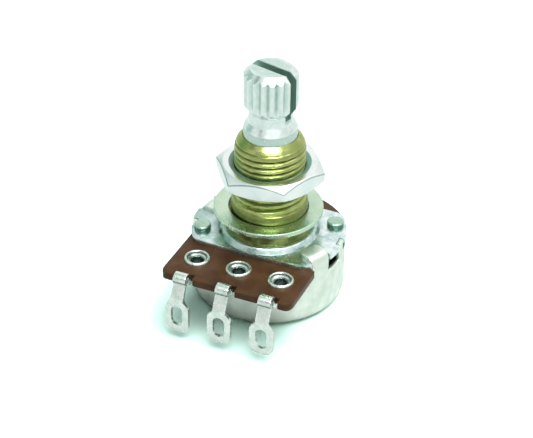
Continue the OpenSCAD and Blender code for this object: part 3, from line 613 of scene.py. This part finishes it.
# Below the slot the shaft is one grid round the axis. Above it stand two prongs: each column of a
# prong climbs the slot's wall, crosses the end face and comes down the outside, and its foot
# shares the points of the grid below.
def makeShaft():
    s = shaft
    low, high = span("shaft")
    r, top, bottom = (high - low)[0] / 2, high[2], low[2]
    slotFloor = top - s["slotDepth"]
    half = s["slotWidth"] / 2
    edgeAngle = math.degrees(math.asin(half / shaftRadius(0.0, slotFloor, r, top)))
    arcAngles = np.concatenate([[edgeAngle], np.arange(10, 171, 1.0), [180 - edgeAngle]])
    gapAngles = np.linspace(-edgeAngle, edgeAngle, 7)[1:-1]
    allAngles = np.concatenate([arcAngles, 180 + gapAngles, 180 + arcAngles, gapAngles + 360])
    clip, start = s["clipZ"], top - s["splineLength"]
    collar = slotFloor - s["neckHeight"]
    body = [(0, bottom), (r - s["footChamfer"], bottom), (r, bottom + s["footChamfer"]), (r, clip[0]),
            (s["clipNeck"], clip[0]), (s["clipNeck"], clip[1]), (r, clip[1]),
            (r, collar - s["slopeHeight"]), (s["edge"], collar), (s["waist"], slotFloor)]
    sizes = [0, 0, 0, 0, 0, 0, 0, s["slopeRound"], s["neckRound"], 0]
    body = roundCorners(body, sizes, 4, closed=False)[4:-4]
    lower = polar(body[:, :1], allAngles, body[:, 1:])
    parts = [(lower.reshape(-1, 3), gridFaces(*lower.shape[:2], False, True))]
    # rows up the prongs, closest where the chamfers cut the grooves
    rows = np.unique(np.round(np.concatenate([
        np.linspace(slotFloor, start, 4), np.linspace(start, start + s["footHeight"], 11),
        np.linspace(start + s["footHeight"], top - s["tipChamfer"], 6),
        np.linspace(top - s["tipChamfer"], top - s["slotEdge"], 11), [top]]), 5))
    outer = shaftRadius(arcAngles[None], rows[:, None], r, top)
    x, y = (outer * along for along in turn(arcAngles).T)
    reach = np.sqrt(np.maximum(outer[:, :1] ** 2 - half ** 2, 0))
    y[:, [0, -1]] = half
    x[:, 0], x[:, -1] = reach[:, 0], -reach[:, 0]
    wallX = reach * turn(arcAngles)[None, :, 0] / turn(edgeAngle)[0]
    wallY = np.full_like(wallX, half)
    wallY[-1] += s["slotEdge"]
    wall = columns(wallX, wallY, rows[:, None])
    outside = columns(x, y, rows[:, None])[::-1]
    across = np.linspace(0, 1, 4)[1:-1, None, None]
    face = wall[-1] * (1 - across) + outside[0] * across
    prong = np.concatenate([wall, face, outside])
    prongFaces = gridFaces(*prong.shape[:2])
    for sign in (1, -1):
        parts.append((prong.reshape(-1, 3) * (sign, sign, 1), prongFaces))
    # the slot's floor: strips between the walls' feet, and a fan at each open end
    feet = wall[0]
    count = len(feet)
    floor = np.concatenate([feet, feet * (1, -1, 1)])
    strips = [[i, i + 1, count + i + 1, count + i] for i in range(count - 1)]
    parts.append((floor, strips))
    rimRadius = shaftRadius(0.0, slotFloor, r, top)
    gap = polar(rimRadius, -gapAngles, slotFloor)
    for sign in (1, -1):
        rim = np.concatenate([[feet[0]], gap, [feet[0] * (1, -1, 1)]]) * (sign, 1, 1)
        parts.append((rim, [list(range(len(rim)))]))
    points, faces = joinParts(parts)
    c, sn = turn(s["slotTurn"])
    x, y, z = points.T
    points = columns(x * c - y * sn, x * sn + y * c, z)

    # painted shade: the saw cut is 1; the grooves and the bar below the collar are less
    def inside(p):
        slot = np.abs(p[:, 1] * c - p[:, 0] * sn) < half + 0.01
        slot &= (p[:, 2] > slotFloor - 0.01) & (p[:, 2] < top - s["slotEdge"] / 2)
        turned = np.minimum(r, r - s["tipChamfer"] + top - p[:, 2])
        groove = (turned - np.linalg.norm(p[:, :2], axis=1)) / s["grooveDepth"]
        groove = np.clip(groove * (p[:, 2] > start + s["footHeight"]), 0, 1)
        below = p[:, 2] < collar - s["slopeHeight"] + 0.02
        return np.where(slot, 1, groove * s["grooveShadeTone"] + s["neckShadeTone"] * below)

    makePiece("splinedShaft", (points, faces), "rotor", turnedShaft, ["shaft"],
              sharp=24, inside=inside)


makeShaft()
print("shaft: done")

# the can: drawn cup whose rim is cut away at the terminals, notched beside two crimp tabs
can = dict(radius=8.65, corner=1.3, wall=0.45, wallRows=(2.6, 4.0), rim=6.45, gapDepth=1.2, gapY=4.9,
           windowDepth=0.6, tabWidth=2.5, tabs=(-25.0, 170.0), window=16.0, lug=7.5, bend=0.95,
           tabTip=6.4, tipRound=0.5, edge=0.14, step=3.0, sliver=0.8)


# Columns stand at angles, rows run from the floor's middle out, round the corner arc, up the
# wall and, at the tabs, over the fold. Tab columns keep their sideways distance from the tab's
# middle line, so its sides are parallel. A mask leaves out the quads of gap and windows.
def makeCan():
    c = can
    high = span("rear_can")[1]
    radius = c["radius"]
    plateTop = high[2] - c["wall"]
    halfTab = math.degrees(math.asin(c["tabWidth"] / 2 / radius))
    gap = math.degrees(math.asin(c["gapY"] / radius))
    cuts = [-gap, -180 + gap]
    kinds = []
    for t in c["tabs"]:
        w0 = t + halfTab
        kinds.append((t - halfTab, w0, "tab"))
        kinds.append((w0, w0 + c["window"], "window"))
        kinds.append((w0 + c["window"], w0 + c["window"] + c["lug"], "lug"))
        cuts += [t - halfTab, w0, w0 + c["window"], w0 + c["window"] + c["lug"]]
        cuts += list(t + np.linspace(-halfTab, halfTab, 13))
    regular = np.arange(0, 360, c["step"])
    angles = np.unique(np.round(np.concatenate([regular, np.mod(cuts, 360)]), 4))
    # a regular angle next to a cut would leave a sliver
    special = np.mod(cuts, 360)
    near = np.abs((angles[:, None] - special[None] + 180) % 360 - 180)
    angles = angles[(near.min(1) < 1e-3) | (near.min(1) > c["sliver"])]
    angles = angles[np.concatenate([[True], np.diff(angles) > 1e-3])]
    cornerMid = (radius - c["corner"], c["corner"])
    base = np.concatenate([np.stack([np.linspace(0, cornerMid[0], 6), np.zeros(6)], 1)[:-1],
                           arc(c["corner"], -90, 0, 8, cornerMid)])
    wallRows = [*c["wallRows"], c["rim"] - c["gapDepth"], c["rim"] - c["windowDepth"], c["rim"],
                high[2] - c["bend"]]
    base = np.concatenate([base, [(radius, z) for z in wallRows]])
    fold = arc(c["bend"], 0, 90, 7)[1:]
    inward = np.linspace(0, 1, 6)[1:]
    rows = len(base) + len(fold) + len(inward)
    points = np.zeros((rows, len(angles), 3))
    flat = turn(angles)
    points[:len(base), :, :2] = base[:, None, :1] * flat[None]
    points[:len(base), :, 2] = base[:, None, 1]
    points[len(base):, :, :2] = radius * flat
    points[len(base):, :, 2] = plateTop
    for t in c["tabs"]:
        off = (angles - t + 180) % 360 - 180
        member = np.abs(off) < halfTab + 1e-3
        side = radius * np.sin(np.radians(off[member]))
        wallAt = np.sqrt(radius ** 2 - side ** 2)
        over = np.maximum(np.abs(side) - c["tabWidth"] / 2 + c["tipRound"], 0)
        tip = c["tabTip"] + c["tipRound"] - np.sqrt(np.maximum(c["tipRound"] ** 2 - over ** 2, 0))
        along = np.concatenate([wallAt - c["bend"] + fold[:, :1],
                                (wallAt - c["bend"]) * (1 - inward[:, None]) + tip * inward[:, None]])
        up = np.concatenate([high[2] - c["bend"] + fold[:, 1], np.full(len(inward), high[2])])
        ahead, aside = turn(t), turn(t + 90)
        plan = along[..., None] * ahead + side[None, :, None] * aside
        points[len(base):, member, :2] = plan
        points[len(base):, member, 2] = up[:, None]
    middle = angles + np.diff(np.append(angles, angles[0] + 360)) / 2
    keep = np.ones((rows - 1, len(angles)), bool)
    rim, lugTop = len(base) - 2, len(base)
    keep[rim:] = False
    for start, stop, kind in kinds:
        inside = (middle - start) % 360 < (stop - start)
        if kind == "tab":
            keep[rim:, inside] = True
        elif kind == "lug":
            keep[rim:lugTop, inside] = True
        else:
            keep[rim - 1, inside] = False
    front = np.sin(np.radians(middle)) * radius < -c["gapY"] + 1e-6
    keep[rim - 2:, front] = False
    faces = gridFaces(rows, len(angles), False, True, keep)
    makePiece("drawnCan", (points.reshape(-1, 3), faces), "housing", zincCan, ["rear_can"],
              wall=c["wall"], edge=c["edge"], sharp=30, outward=False)


makeCan()

# the front plate: stamped sheet with a drawn boss, two straight edges and clearances for the tabs
plate = dict(thick=0.6, radius=8.75, flat=5.78, blunt=24, bluntReach=1.006, bossFoot=5.73,
             bossTop=5.35, bossRound=0.28, footRound=0.2, notch=8.15,
             notches=((-34.3, -15.7), (-1.7, 7.8), (160.7, 179.3), (193.3, 202.8)), bore=3.9, edge=0.1,
             footShadeWidth=0.45, footShadeTone=(0.45, 0.3), leftShadeFrom=0.45, sideShadeTone=0.9, seamWidth=0.07,
             seamTone=0.9)


# Columns run out from the bore to the outline R(a) = min(radius, flat / |sin a|), less at the
# notches; along each the height follows the boss's rounded profile.
def makePlate():
    p = plate
    low, high = span("front_plate")
    angles = np.arange(0, 360, 1.5)
    tight = [a + d for n in p["notches"] for a in n for d in (-0.02, 0.02)]
    corner = math.degrees(math.asin(p["flat"] / p["radius"]))
    spots = [corner, 180 - corner, 180 + corner, 360 - corner]
    tight += [a + d for a in spots for d in (-1.5, -1, -0.5, 0, 0.5, 1, 1.5)]
    angles = np.unique(np.round(np.mod(np.concatenate([angles, tight]), 360), 3))
    sine = np.maximum(np.abs(np.sin(np.radians(angles))), 1e-6)
    blunt = p["blunt"]
    reach = (p["radius"] ** -blunt + (p["flat"] / sine) ** -blunt) ** (-1 / blunt)
    reach = np.minimum(np.minimum(p["radius"], p["flat"] / sine), reach * p["bluntReach"])
    for start, stop in p["notches"]:
        reach = np.where((angles - start) % 360 < stop - start, np.minimum(reach, p["notch"]), reach)
    top = low[2] + p["thick"]
    boss = roundCorners([(p["bore"], high[2]), (p["bossTop"], high[2]), (p["bossFoot"], top),
                         (p["bossFoot"] + 0.02, top)], [0, p["bossRound"], p["footRound"], 0], 6,
                        closed=False)
    boss[:, 0] = np.minimum(boss[:, 0], p["bossFoot"] + 0.02)
    out = np.linspace(0, 1, 7)[1:, None]
    start = boss[-1, 0]
    points = np.concatenate([polar(boss[:, :1], angles, boss[:, 1:]),
                             polar(start * (1 - out) + reach * out, angles, top)])
    faces = [f[::-1] for f in gridFaces(*points.shape[:2], False, True)]
    flange = span("bushing")[1][0]

    # painted shade round the boss's foot and towards the left, and the dark seam round the bushing's
    # flange
    def inside(at):
        reach, side = np.linalg.norm(at[:, :2], axis=1), at[:, 0] / p["radius"]
        foot = np.exp(-((reach - p["bossFoot"]) / p["footShadeWidth"]) ** 2)
        foot = foot * (p["footShadeTone"][0] - p["footShadeTone"][1] * side)
        seam = np.exp(-((reach - flange) / p["seamWidth"]) ** 2) * (at[:, 2] > top + 0.1)
        left = np.clip(-side - p["leftShadeFrom"], 0, 1)
        return foot + left * p["sideShadeTone"] + p["seamTone"] * seam

    makePiece("stampedPlate", (points.reshape(-1, 3), faces), "housing", zincPlate, ["front_plate"],
              wall=p["thick"], edge=p["edge"], sharp=30, outward=False, inside=inside)


makePlate()
print("can and plate: done")

# the phenolic board: round part, tongue, clearances at the crimp tabs, a notch for each terminal
wafer = dict(radius=8.95, tongueHalf=7.7, tongueRound=1.3, hole=3.75, notchWidth=2.35,
             notchDepth=0.88, notchRound=0.12, clear=8.15, clearRound=0.1, clearFront=(-34.3, 7.8),
             clearBack=(160.7, 202.8), flush=8.65, flushTo=206, overFrom=38.0, eyeletHole=0.975,
             edge=0.05)


def makeWafer():
    w = wafer
    low, high = span("wafer")
    front = low[1]
    half = w["tongueHalf"]
    pitch = sum(span("eyelet_right"))[0] / 2
    eyeletY = sum(span("eyelet_center"))[1] / 2
    edge, sizes = [(-half, front)], [w["tongueRound"]]
    for i in (-1, 0, 1):
        for dx, dy in ((-1, 0), (-1, 1), (1, 1), (1, 0)):
            edge.append((i * pitch + dx * w["notchWidth"] / 2, front + dy * w["notchDepth"]))
            sizes.append(w["notchRound"])
    ray = turn(w["clearFront"][0])
    edge += [(half, front), tuple(ray * half / ray[0]), tuple(ray * w["clear"])]
    sizes += [w["tongueRound"], w["clearRound"], w["clearRound"]]
    back = (-half, -math.sqrt(w["flush"] ** 2 - half ** 2))
    outline = roundCorners(edge + [back], sizes + [w["clearRound"]], 8)
    count = 9 * len(edge)  # eight steps make nine points a corner
    rim = np.concatenate([arc(w["clear"], w["clearFront"][0] + 1, w["clearFront"][1], 24),
                          arc(w["flush"], w["clearFront"][1], w["overFrom"], 24),
                          arc(w["radius"], w["overFrom"], w["clearBack"][0], 90),
                          arc(w["clear"], w["clearBack"][0], w["clearBack"][1], 24),
                          arc(w["flush"], w["clearBack"][1], w["flushTo"], 4)])
    outline = np.concatenate([outline[:count], rim, outline[count:]])
    outline = outline[np.linalg.norm(outline - np.roll(outline, 1, 0), axis=1) > 1e-4]
    holes = [arc(w["hole"], 0, 360, 72)[:-1]]
    holes += [arc(w["eyeletHole"], 0, 360, 36, (i * pitch, eyeletY))[:-1] for i in (-1, 0, 1)]
    shape = flatFaces([outline] + holes, lambda p: columns(*p.T, high[2]))
    makePiece("phenolicWafer", shape, "housing", board, ["wafer"],
              wall=(high - low)[2], edge=w["edge"], sharp=30, outward=False)


makeWafer()

# a terminal: one strip of tinned brass, from its seat under the board up through the notch,
# over the hump, creased back and down into the solder ring
lug = dict(thick=0.4, strap=1.46, seat=1.5, seatHole=0.975, lift=0.4, riseGap=0.26, hump=0.55,
           crease=0.25, creaseZ=6.8, creaseRound=0.16, kneeRound=0.35, kneeUp=0.1, ringWidth=2.75,
           shoulderZ=4.35, shoulderRound=0.3, ringRound=1.1, eyeWidth=1.35, eyeHeight=2.5,
           sill=0.75, edge=0.06, creaseShadeTone=0.9, creaseShadeFade=0.14, creaseShadeReach=1.6)


# The strap is a ribbon carried along a path in the plane across the edge, as wide as the strap;
# seat and ring are flat sheets that share its end points.
def makeLug(node):
    g = lug
    low, high = span(node)
    x = (low[0] + high[0]) / 2
    eyeletY = -sum(span("eyelet_center"))[1] / 2
    t = g["thick"]
    ringY = -low[1] - t / 2
    under = span("carbon_track")[0][2] - t / 2
    humpTop = high[2] - t / 2
    notchEnd = -span("wafer")[0][1] - wafer["notchDepth"]
    rise = notchEnd + g["riseGap"] + t / 2
    across = np.linspace(-g["strap"] / 2, g["strap"] / 2, 7)
    start = eyeletY + math.sqrt(g["seat"] ** 2 - (g["strap"] / 2) ** 2)
    arcZ = humpTop - g["hump"]
    knee = g["shoulderZ"] + (g["ringWidth"] - g["strap"]) / 2
    humpEnd = rise + 2 * g["hump"]
    creaseY = humpEnd - g["crease"]
    bend = roundCorners([(humpEnd, arcZ), (creaseY, g["creaseZ"]), (ringY, knee + g["kneeUp"]),
                         (ringY, knee)], [0, g["creaseRound"], g["kneeRound"], 0], 5, closed=False)
    path = np.concatenate([
        [(start, under)], arc(g["lift"], -90, 0, 6, (rise - g["lift"], under + g["lift"])),
        arc(g["hump"], 180, 0, 14, (rise + g["hump"], arcZ)), bend[6:]])
    points = columns(across + x, -path[:, :1], path[:, 1:])
    strap = (points.reshape(-1, 3), gridFaces(*points.shape[:2]))
    # the seat's outline starts and ends on the strap's first row
    halfOpen = math.degrees(math.asin(g["strap"] / 2 / g["seat"]))
    seatRim = arc(g["seat"], -90 + halfOpen, 270 - halfOpen, 40)[1:-1]
    foot = columns(across, eyeletY - start)
    seat = flatFaces([np.concatenate([foot, seatRim]), arc(g["seatHole"], 0, 360, 36)[:-1]],
                     lambda p: columns(p[:, 0] + x, p[:, 1] - eyeletY, under))
    w, bottom = g["ringWidth"] / 2, low[2]
    eye0 = bottom + g["sill"]
    r = g["eyeWidth"] / 2
    neck = columns(across[::-1], knee)
    sides = roundCorners([(-g["strap"] / 2, knee), (-w, g["shoulderZ"]), (-w, bottom), (w, bottom),
                          (w, g["shoulderZ"]), (g["strap"] / 2, knee)],
                         [0, g["shoulderRound"], g["ringRound"], g["ringRound"], g["shoulderRound"],
                          0], 7, closed=False)[8:-8]
    hole = np.concatenate([arc(r, 0, 180, 14, (0, eye0 + g["eyeHeight"] - r)),
                           arc(r, 180, 360, 14, (0, eye0 + r))])
    ring = flatFaces([np.concatenate([neck, sides]), hole],
                     lambda p: columns(p[:, 0] + x, -ringY, p[:, 1]))
    points, faces = joinParts([strap, seat, ring])
    creaseMid = (g["creaseZ"] + arcZ) / 2

    # painted shade in the crease, on the side that faces out
    def paintedCreaseShade(p):
        near = np.clip(g["creaseShadeReach"] - np.abs(p[:, 2] - creaseMid) / g["creaseShadeFade"], 0, 1)
        return g["creaseShadeTone"] * near * (-p[:, 1] > creaseY)

    makePiece(node.replace("lug_", "terminal_"), sheetFromMiddle(points, faces, t), "housing",
              tinnedBrass, [node], wall=t, edge=g["edge"], sharp=30, outward=False,
              inside=paintedCreaseShade)


# moves a middle surface half its wall out along its own vertex directions, all faces agreeing
def sheetFromMiddle(points, faces, wall):
    bm = bmesh.new()
    verts = [bm.verts.new(p) for p in points]
    for f in faces:
        bm.faces.new([verts[i] for i in f])
    bmesh.ops.remove_doubles(bm, verts=bm.verts, dist=1e-3)
    bmesh.ops.recalc_face_normals(bm, faces=bm.faces)
    bm.normal_update()
    moved = np.array([tuple(v.co + v.normal * v.calc_shell_factor() * wall / 2) for v in bm.verts])
    bm.verts.index_update()
    kept = [[v.index for v in f.verts] for f in bm.faces]
    bm.free()
    return moved, kept


for side in ("left", "center", "right"):
    makeLug("lug_" + side)
print("board and terminals: done")

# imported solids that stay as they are, with their own finish
keptNodes = dict(carbon_track=carbonInk, collector_ring=silverInk, retaining_ring=springSteel,
                 wiper_carrier=mouldedNylon, wiper_spring=springBronze)
for name, finish in keptNodes.items():
    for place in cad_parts[name].material_slots:
        place.material = finish

# Pale floor in a light tent. A direction is azimuth and elevation in degrees; a patch round it is
# even up to one angle from its middle and fades out up to a second. The areas (direction, both
# angles, colour, strength) and the row of highlights (directions; both angles and strength) are
# what the metals mirror, the fill (dim, bright, direction, both angles) lights all the rest, and
# the lamp (direction, distance and size in metres, watts) throws the shadow to the front.
studio = dict(floorSize=0.8, floorColour="#eef4f2", overexposed=1.0, shadeTint="#b2f2e0",
              sky=0.95, fill=(0.03, 5.4, -20.0, 78.0, 8.0, 35.0),
              areas=((113.0, 34.0, 12.0, 24.0, "#ffffff", 1.12),
                     (-57.0, 23.0, 24.0, 34.0, "#ffffff", 1.4),
                     (-111.0, 20.5, 3.0, 6.0, "#34554d", 1.0),
                     (-110.0, 32.0, 4.0, 9.0, "#34554d", 1.0),
                     (-98.0, 34.0, 4.0, 8.0, "#34554d", 1.0),
                     (-88.0, 34.5, 3.0, 7.0, "#34554d", 1.0),
                     (-148.0, 45.0, 4.0, 10.0, "#5f7f76", 1.0),
                     (-172.0, 15.0, 12.0, 26.0, "#a5cdbf", 1.0),
                     (150.0, 28.0, 10.0, 28.0, "#c4e0d7", 1.0),
                     (150.0, 66.0, 8.0, 20.0, "#9cc0b2", 1.0)),
              highlights=((-82.0, 57.0), (-67.0, 57.0), (-52.0, 56.0), (-38.0, 55.0)),
              highlight=(4.0, 8.5, 20.0),
              lamps=(("backLamp", 35.0, 64.0, 0.46, 0.22, 0.4),))


# unit direction of an azimuth and elevation in degrees
def direction(azimuth, elevation):
    az, el = math.radians(azimuth), math.radians(elevation)
    return Vector((math.cos(az) * math.cos(el), math.sin(az) * math.cos(el), math.sin(el)))


# A diffuse floor, to which camera rays add a second, green-blue one. Together they are overexposed,
# so the paper is white and only the part's own shadow shows, with a tint of that colour.
def makeFloor():
    half = studio["floorSize"] / 2
    mesh = bpy.data.meshes.new("paperFloor")
    mesh.from_pydata([(-half, -half, 0), (half, -half, 0), (half, half, 0), (-half, half, 0)], [],
                     [(0, 1, 2, 3)])
    floor = addObject("paperFloor", mesh)
    material = bpy.data.materials.new("whitePaper")
    tree = emptyTree(material)
    matt = addNode(tree, "BsdfDiffuse", {"Color": paint(studio["floorColour"])})
    seen = addNode(tree, "LightPath").outputs["Is Camera Ray"]
    tint = tuple(c * studio["overexposed"] for c in paint(studio["shadeTint"]))
    more = addNode(tree, "BsdfDiffuse", {"Color": mixOf(tree, seen, (0, 0, 0, 1), tint)})
    both = addNode(tree, "AddShader", {0: matt.outputs[0], 1: more.outputs[0]})
    addNode(tree, "OutputMaterial", {"Surface": both.outputs[0]})
    mesh.materials.append(material)


# how far a direction lies in a patch of the sky: 1 within the inner angle, 0 beyond the outer
def skySpot(tree, where, azimuth, elevation, inner, outer):
    facing = addNode(tree, "VectorMath", {0: where, 1: direction(azimuth, elevation)},
                     operation="DOT_PRODUCT")
    return addNode(tree, "MapRange", {"Value": facing.outputs["Value"],
                                      "From Min": math.cos(math.radians(outer)),
                                      "From Max": math.cos(math.radians(inner))},
                   interpolation_type="SMOOTHSTEP").outputs[0]


# mirrored rays see the areas and highlights, all others the fill's strength with the areas' tones,
# and the camera plain white
def makeSky():
    world = bpy.data.worlds.new("lightTent")
    bpy.context.scene.world = world
    tree = emptyTree(world)
    where = addNode(tree, "TexCoord").outputs["Generated"]
    tone = (1.0, 1.0, 1.0, 1.0)
    for *patch, colour, power in studio["areas"]:
        share = skySpot(tree, where, *patch)
        tone = mixOf(tree, share, tone, [c * power for c in paint(colour)])
    *edges, peak = studio["highlight"]
    shine = 0.0
    for place in studio["highlights"]:
        spot = skySpot(tree, where, *place, *edges)
        shine = addNode(tree, "Math", {0: shine, 1: spot}, operation="MAXIMUM").outputs[0]
    shine = stretch(tree, shine, studio["sky"], peak)
    dim, bright, *patch = studio["fill"]
    fill = stretch(tree, skySpot(tree, where, *patch), dim, bright)
    seen = addNode(tree, "LightPath").outputs
    first = addNode(tree, "Math", {0: 0.5, 1: seen["Diffuse Depth"]}, operation="GREATER_THAN")
    mirrored = addNode(tree, "Math", {0: seen["Is Glossy Ray"], 1: first.outputs[0]},
                       operation="MULTIPLY")
    strength = addNode(tree, "Mix", {0: mirrored.outputs[0], 2: fill, 3: shine})
    tent = addNode(tree, "Background", {"Color": tone, "Strength": strength.outputs[0]})
    white = addNode(tree, "Background", {"Color": (1.0, 1.0, 1.0, 1.0), "Strength": 1.0})
    both = addNode(tree, "MixShader", {0: seen["Is Camera Ray"], 1: tent.outputs[0],
                                       2: white.outputs[0]})
    addNode(tree, "OutputWorld", {"Surface": both.outputs[0]})


def makeLamps():
    for name, azimuth, elevation, distance, size, power in studio["lamps"]:
        data = bpy.data.lights.new(name, "AREA")
        data.shape, data.size, data.energy = "SQUARE", size, power
        lamp = addObject(name, data)
        place = direction(azimuth, elevation) * distance
        turned = place.to_track_quat("Z", "Y").to_matrix().to_4x4()
        lamp.matrix_world = Matrix.Translation(place) @ turned


makeFloor()
makeSky()
makeLamps()
bpy.context.scene.view_settings.view_transform = "Standard"
print("studio: done")
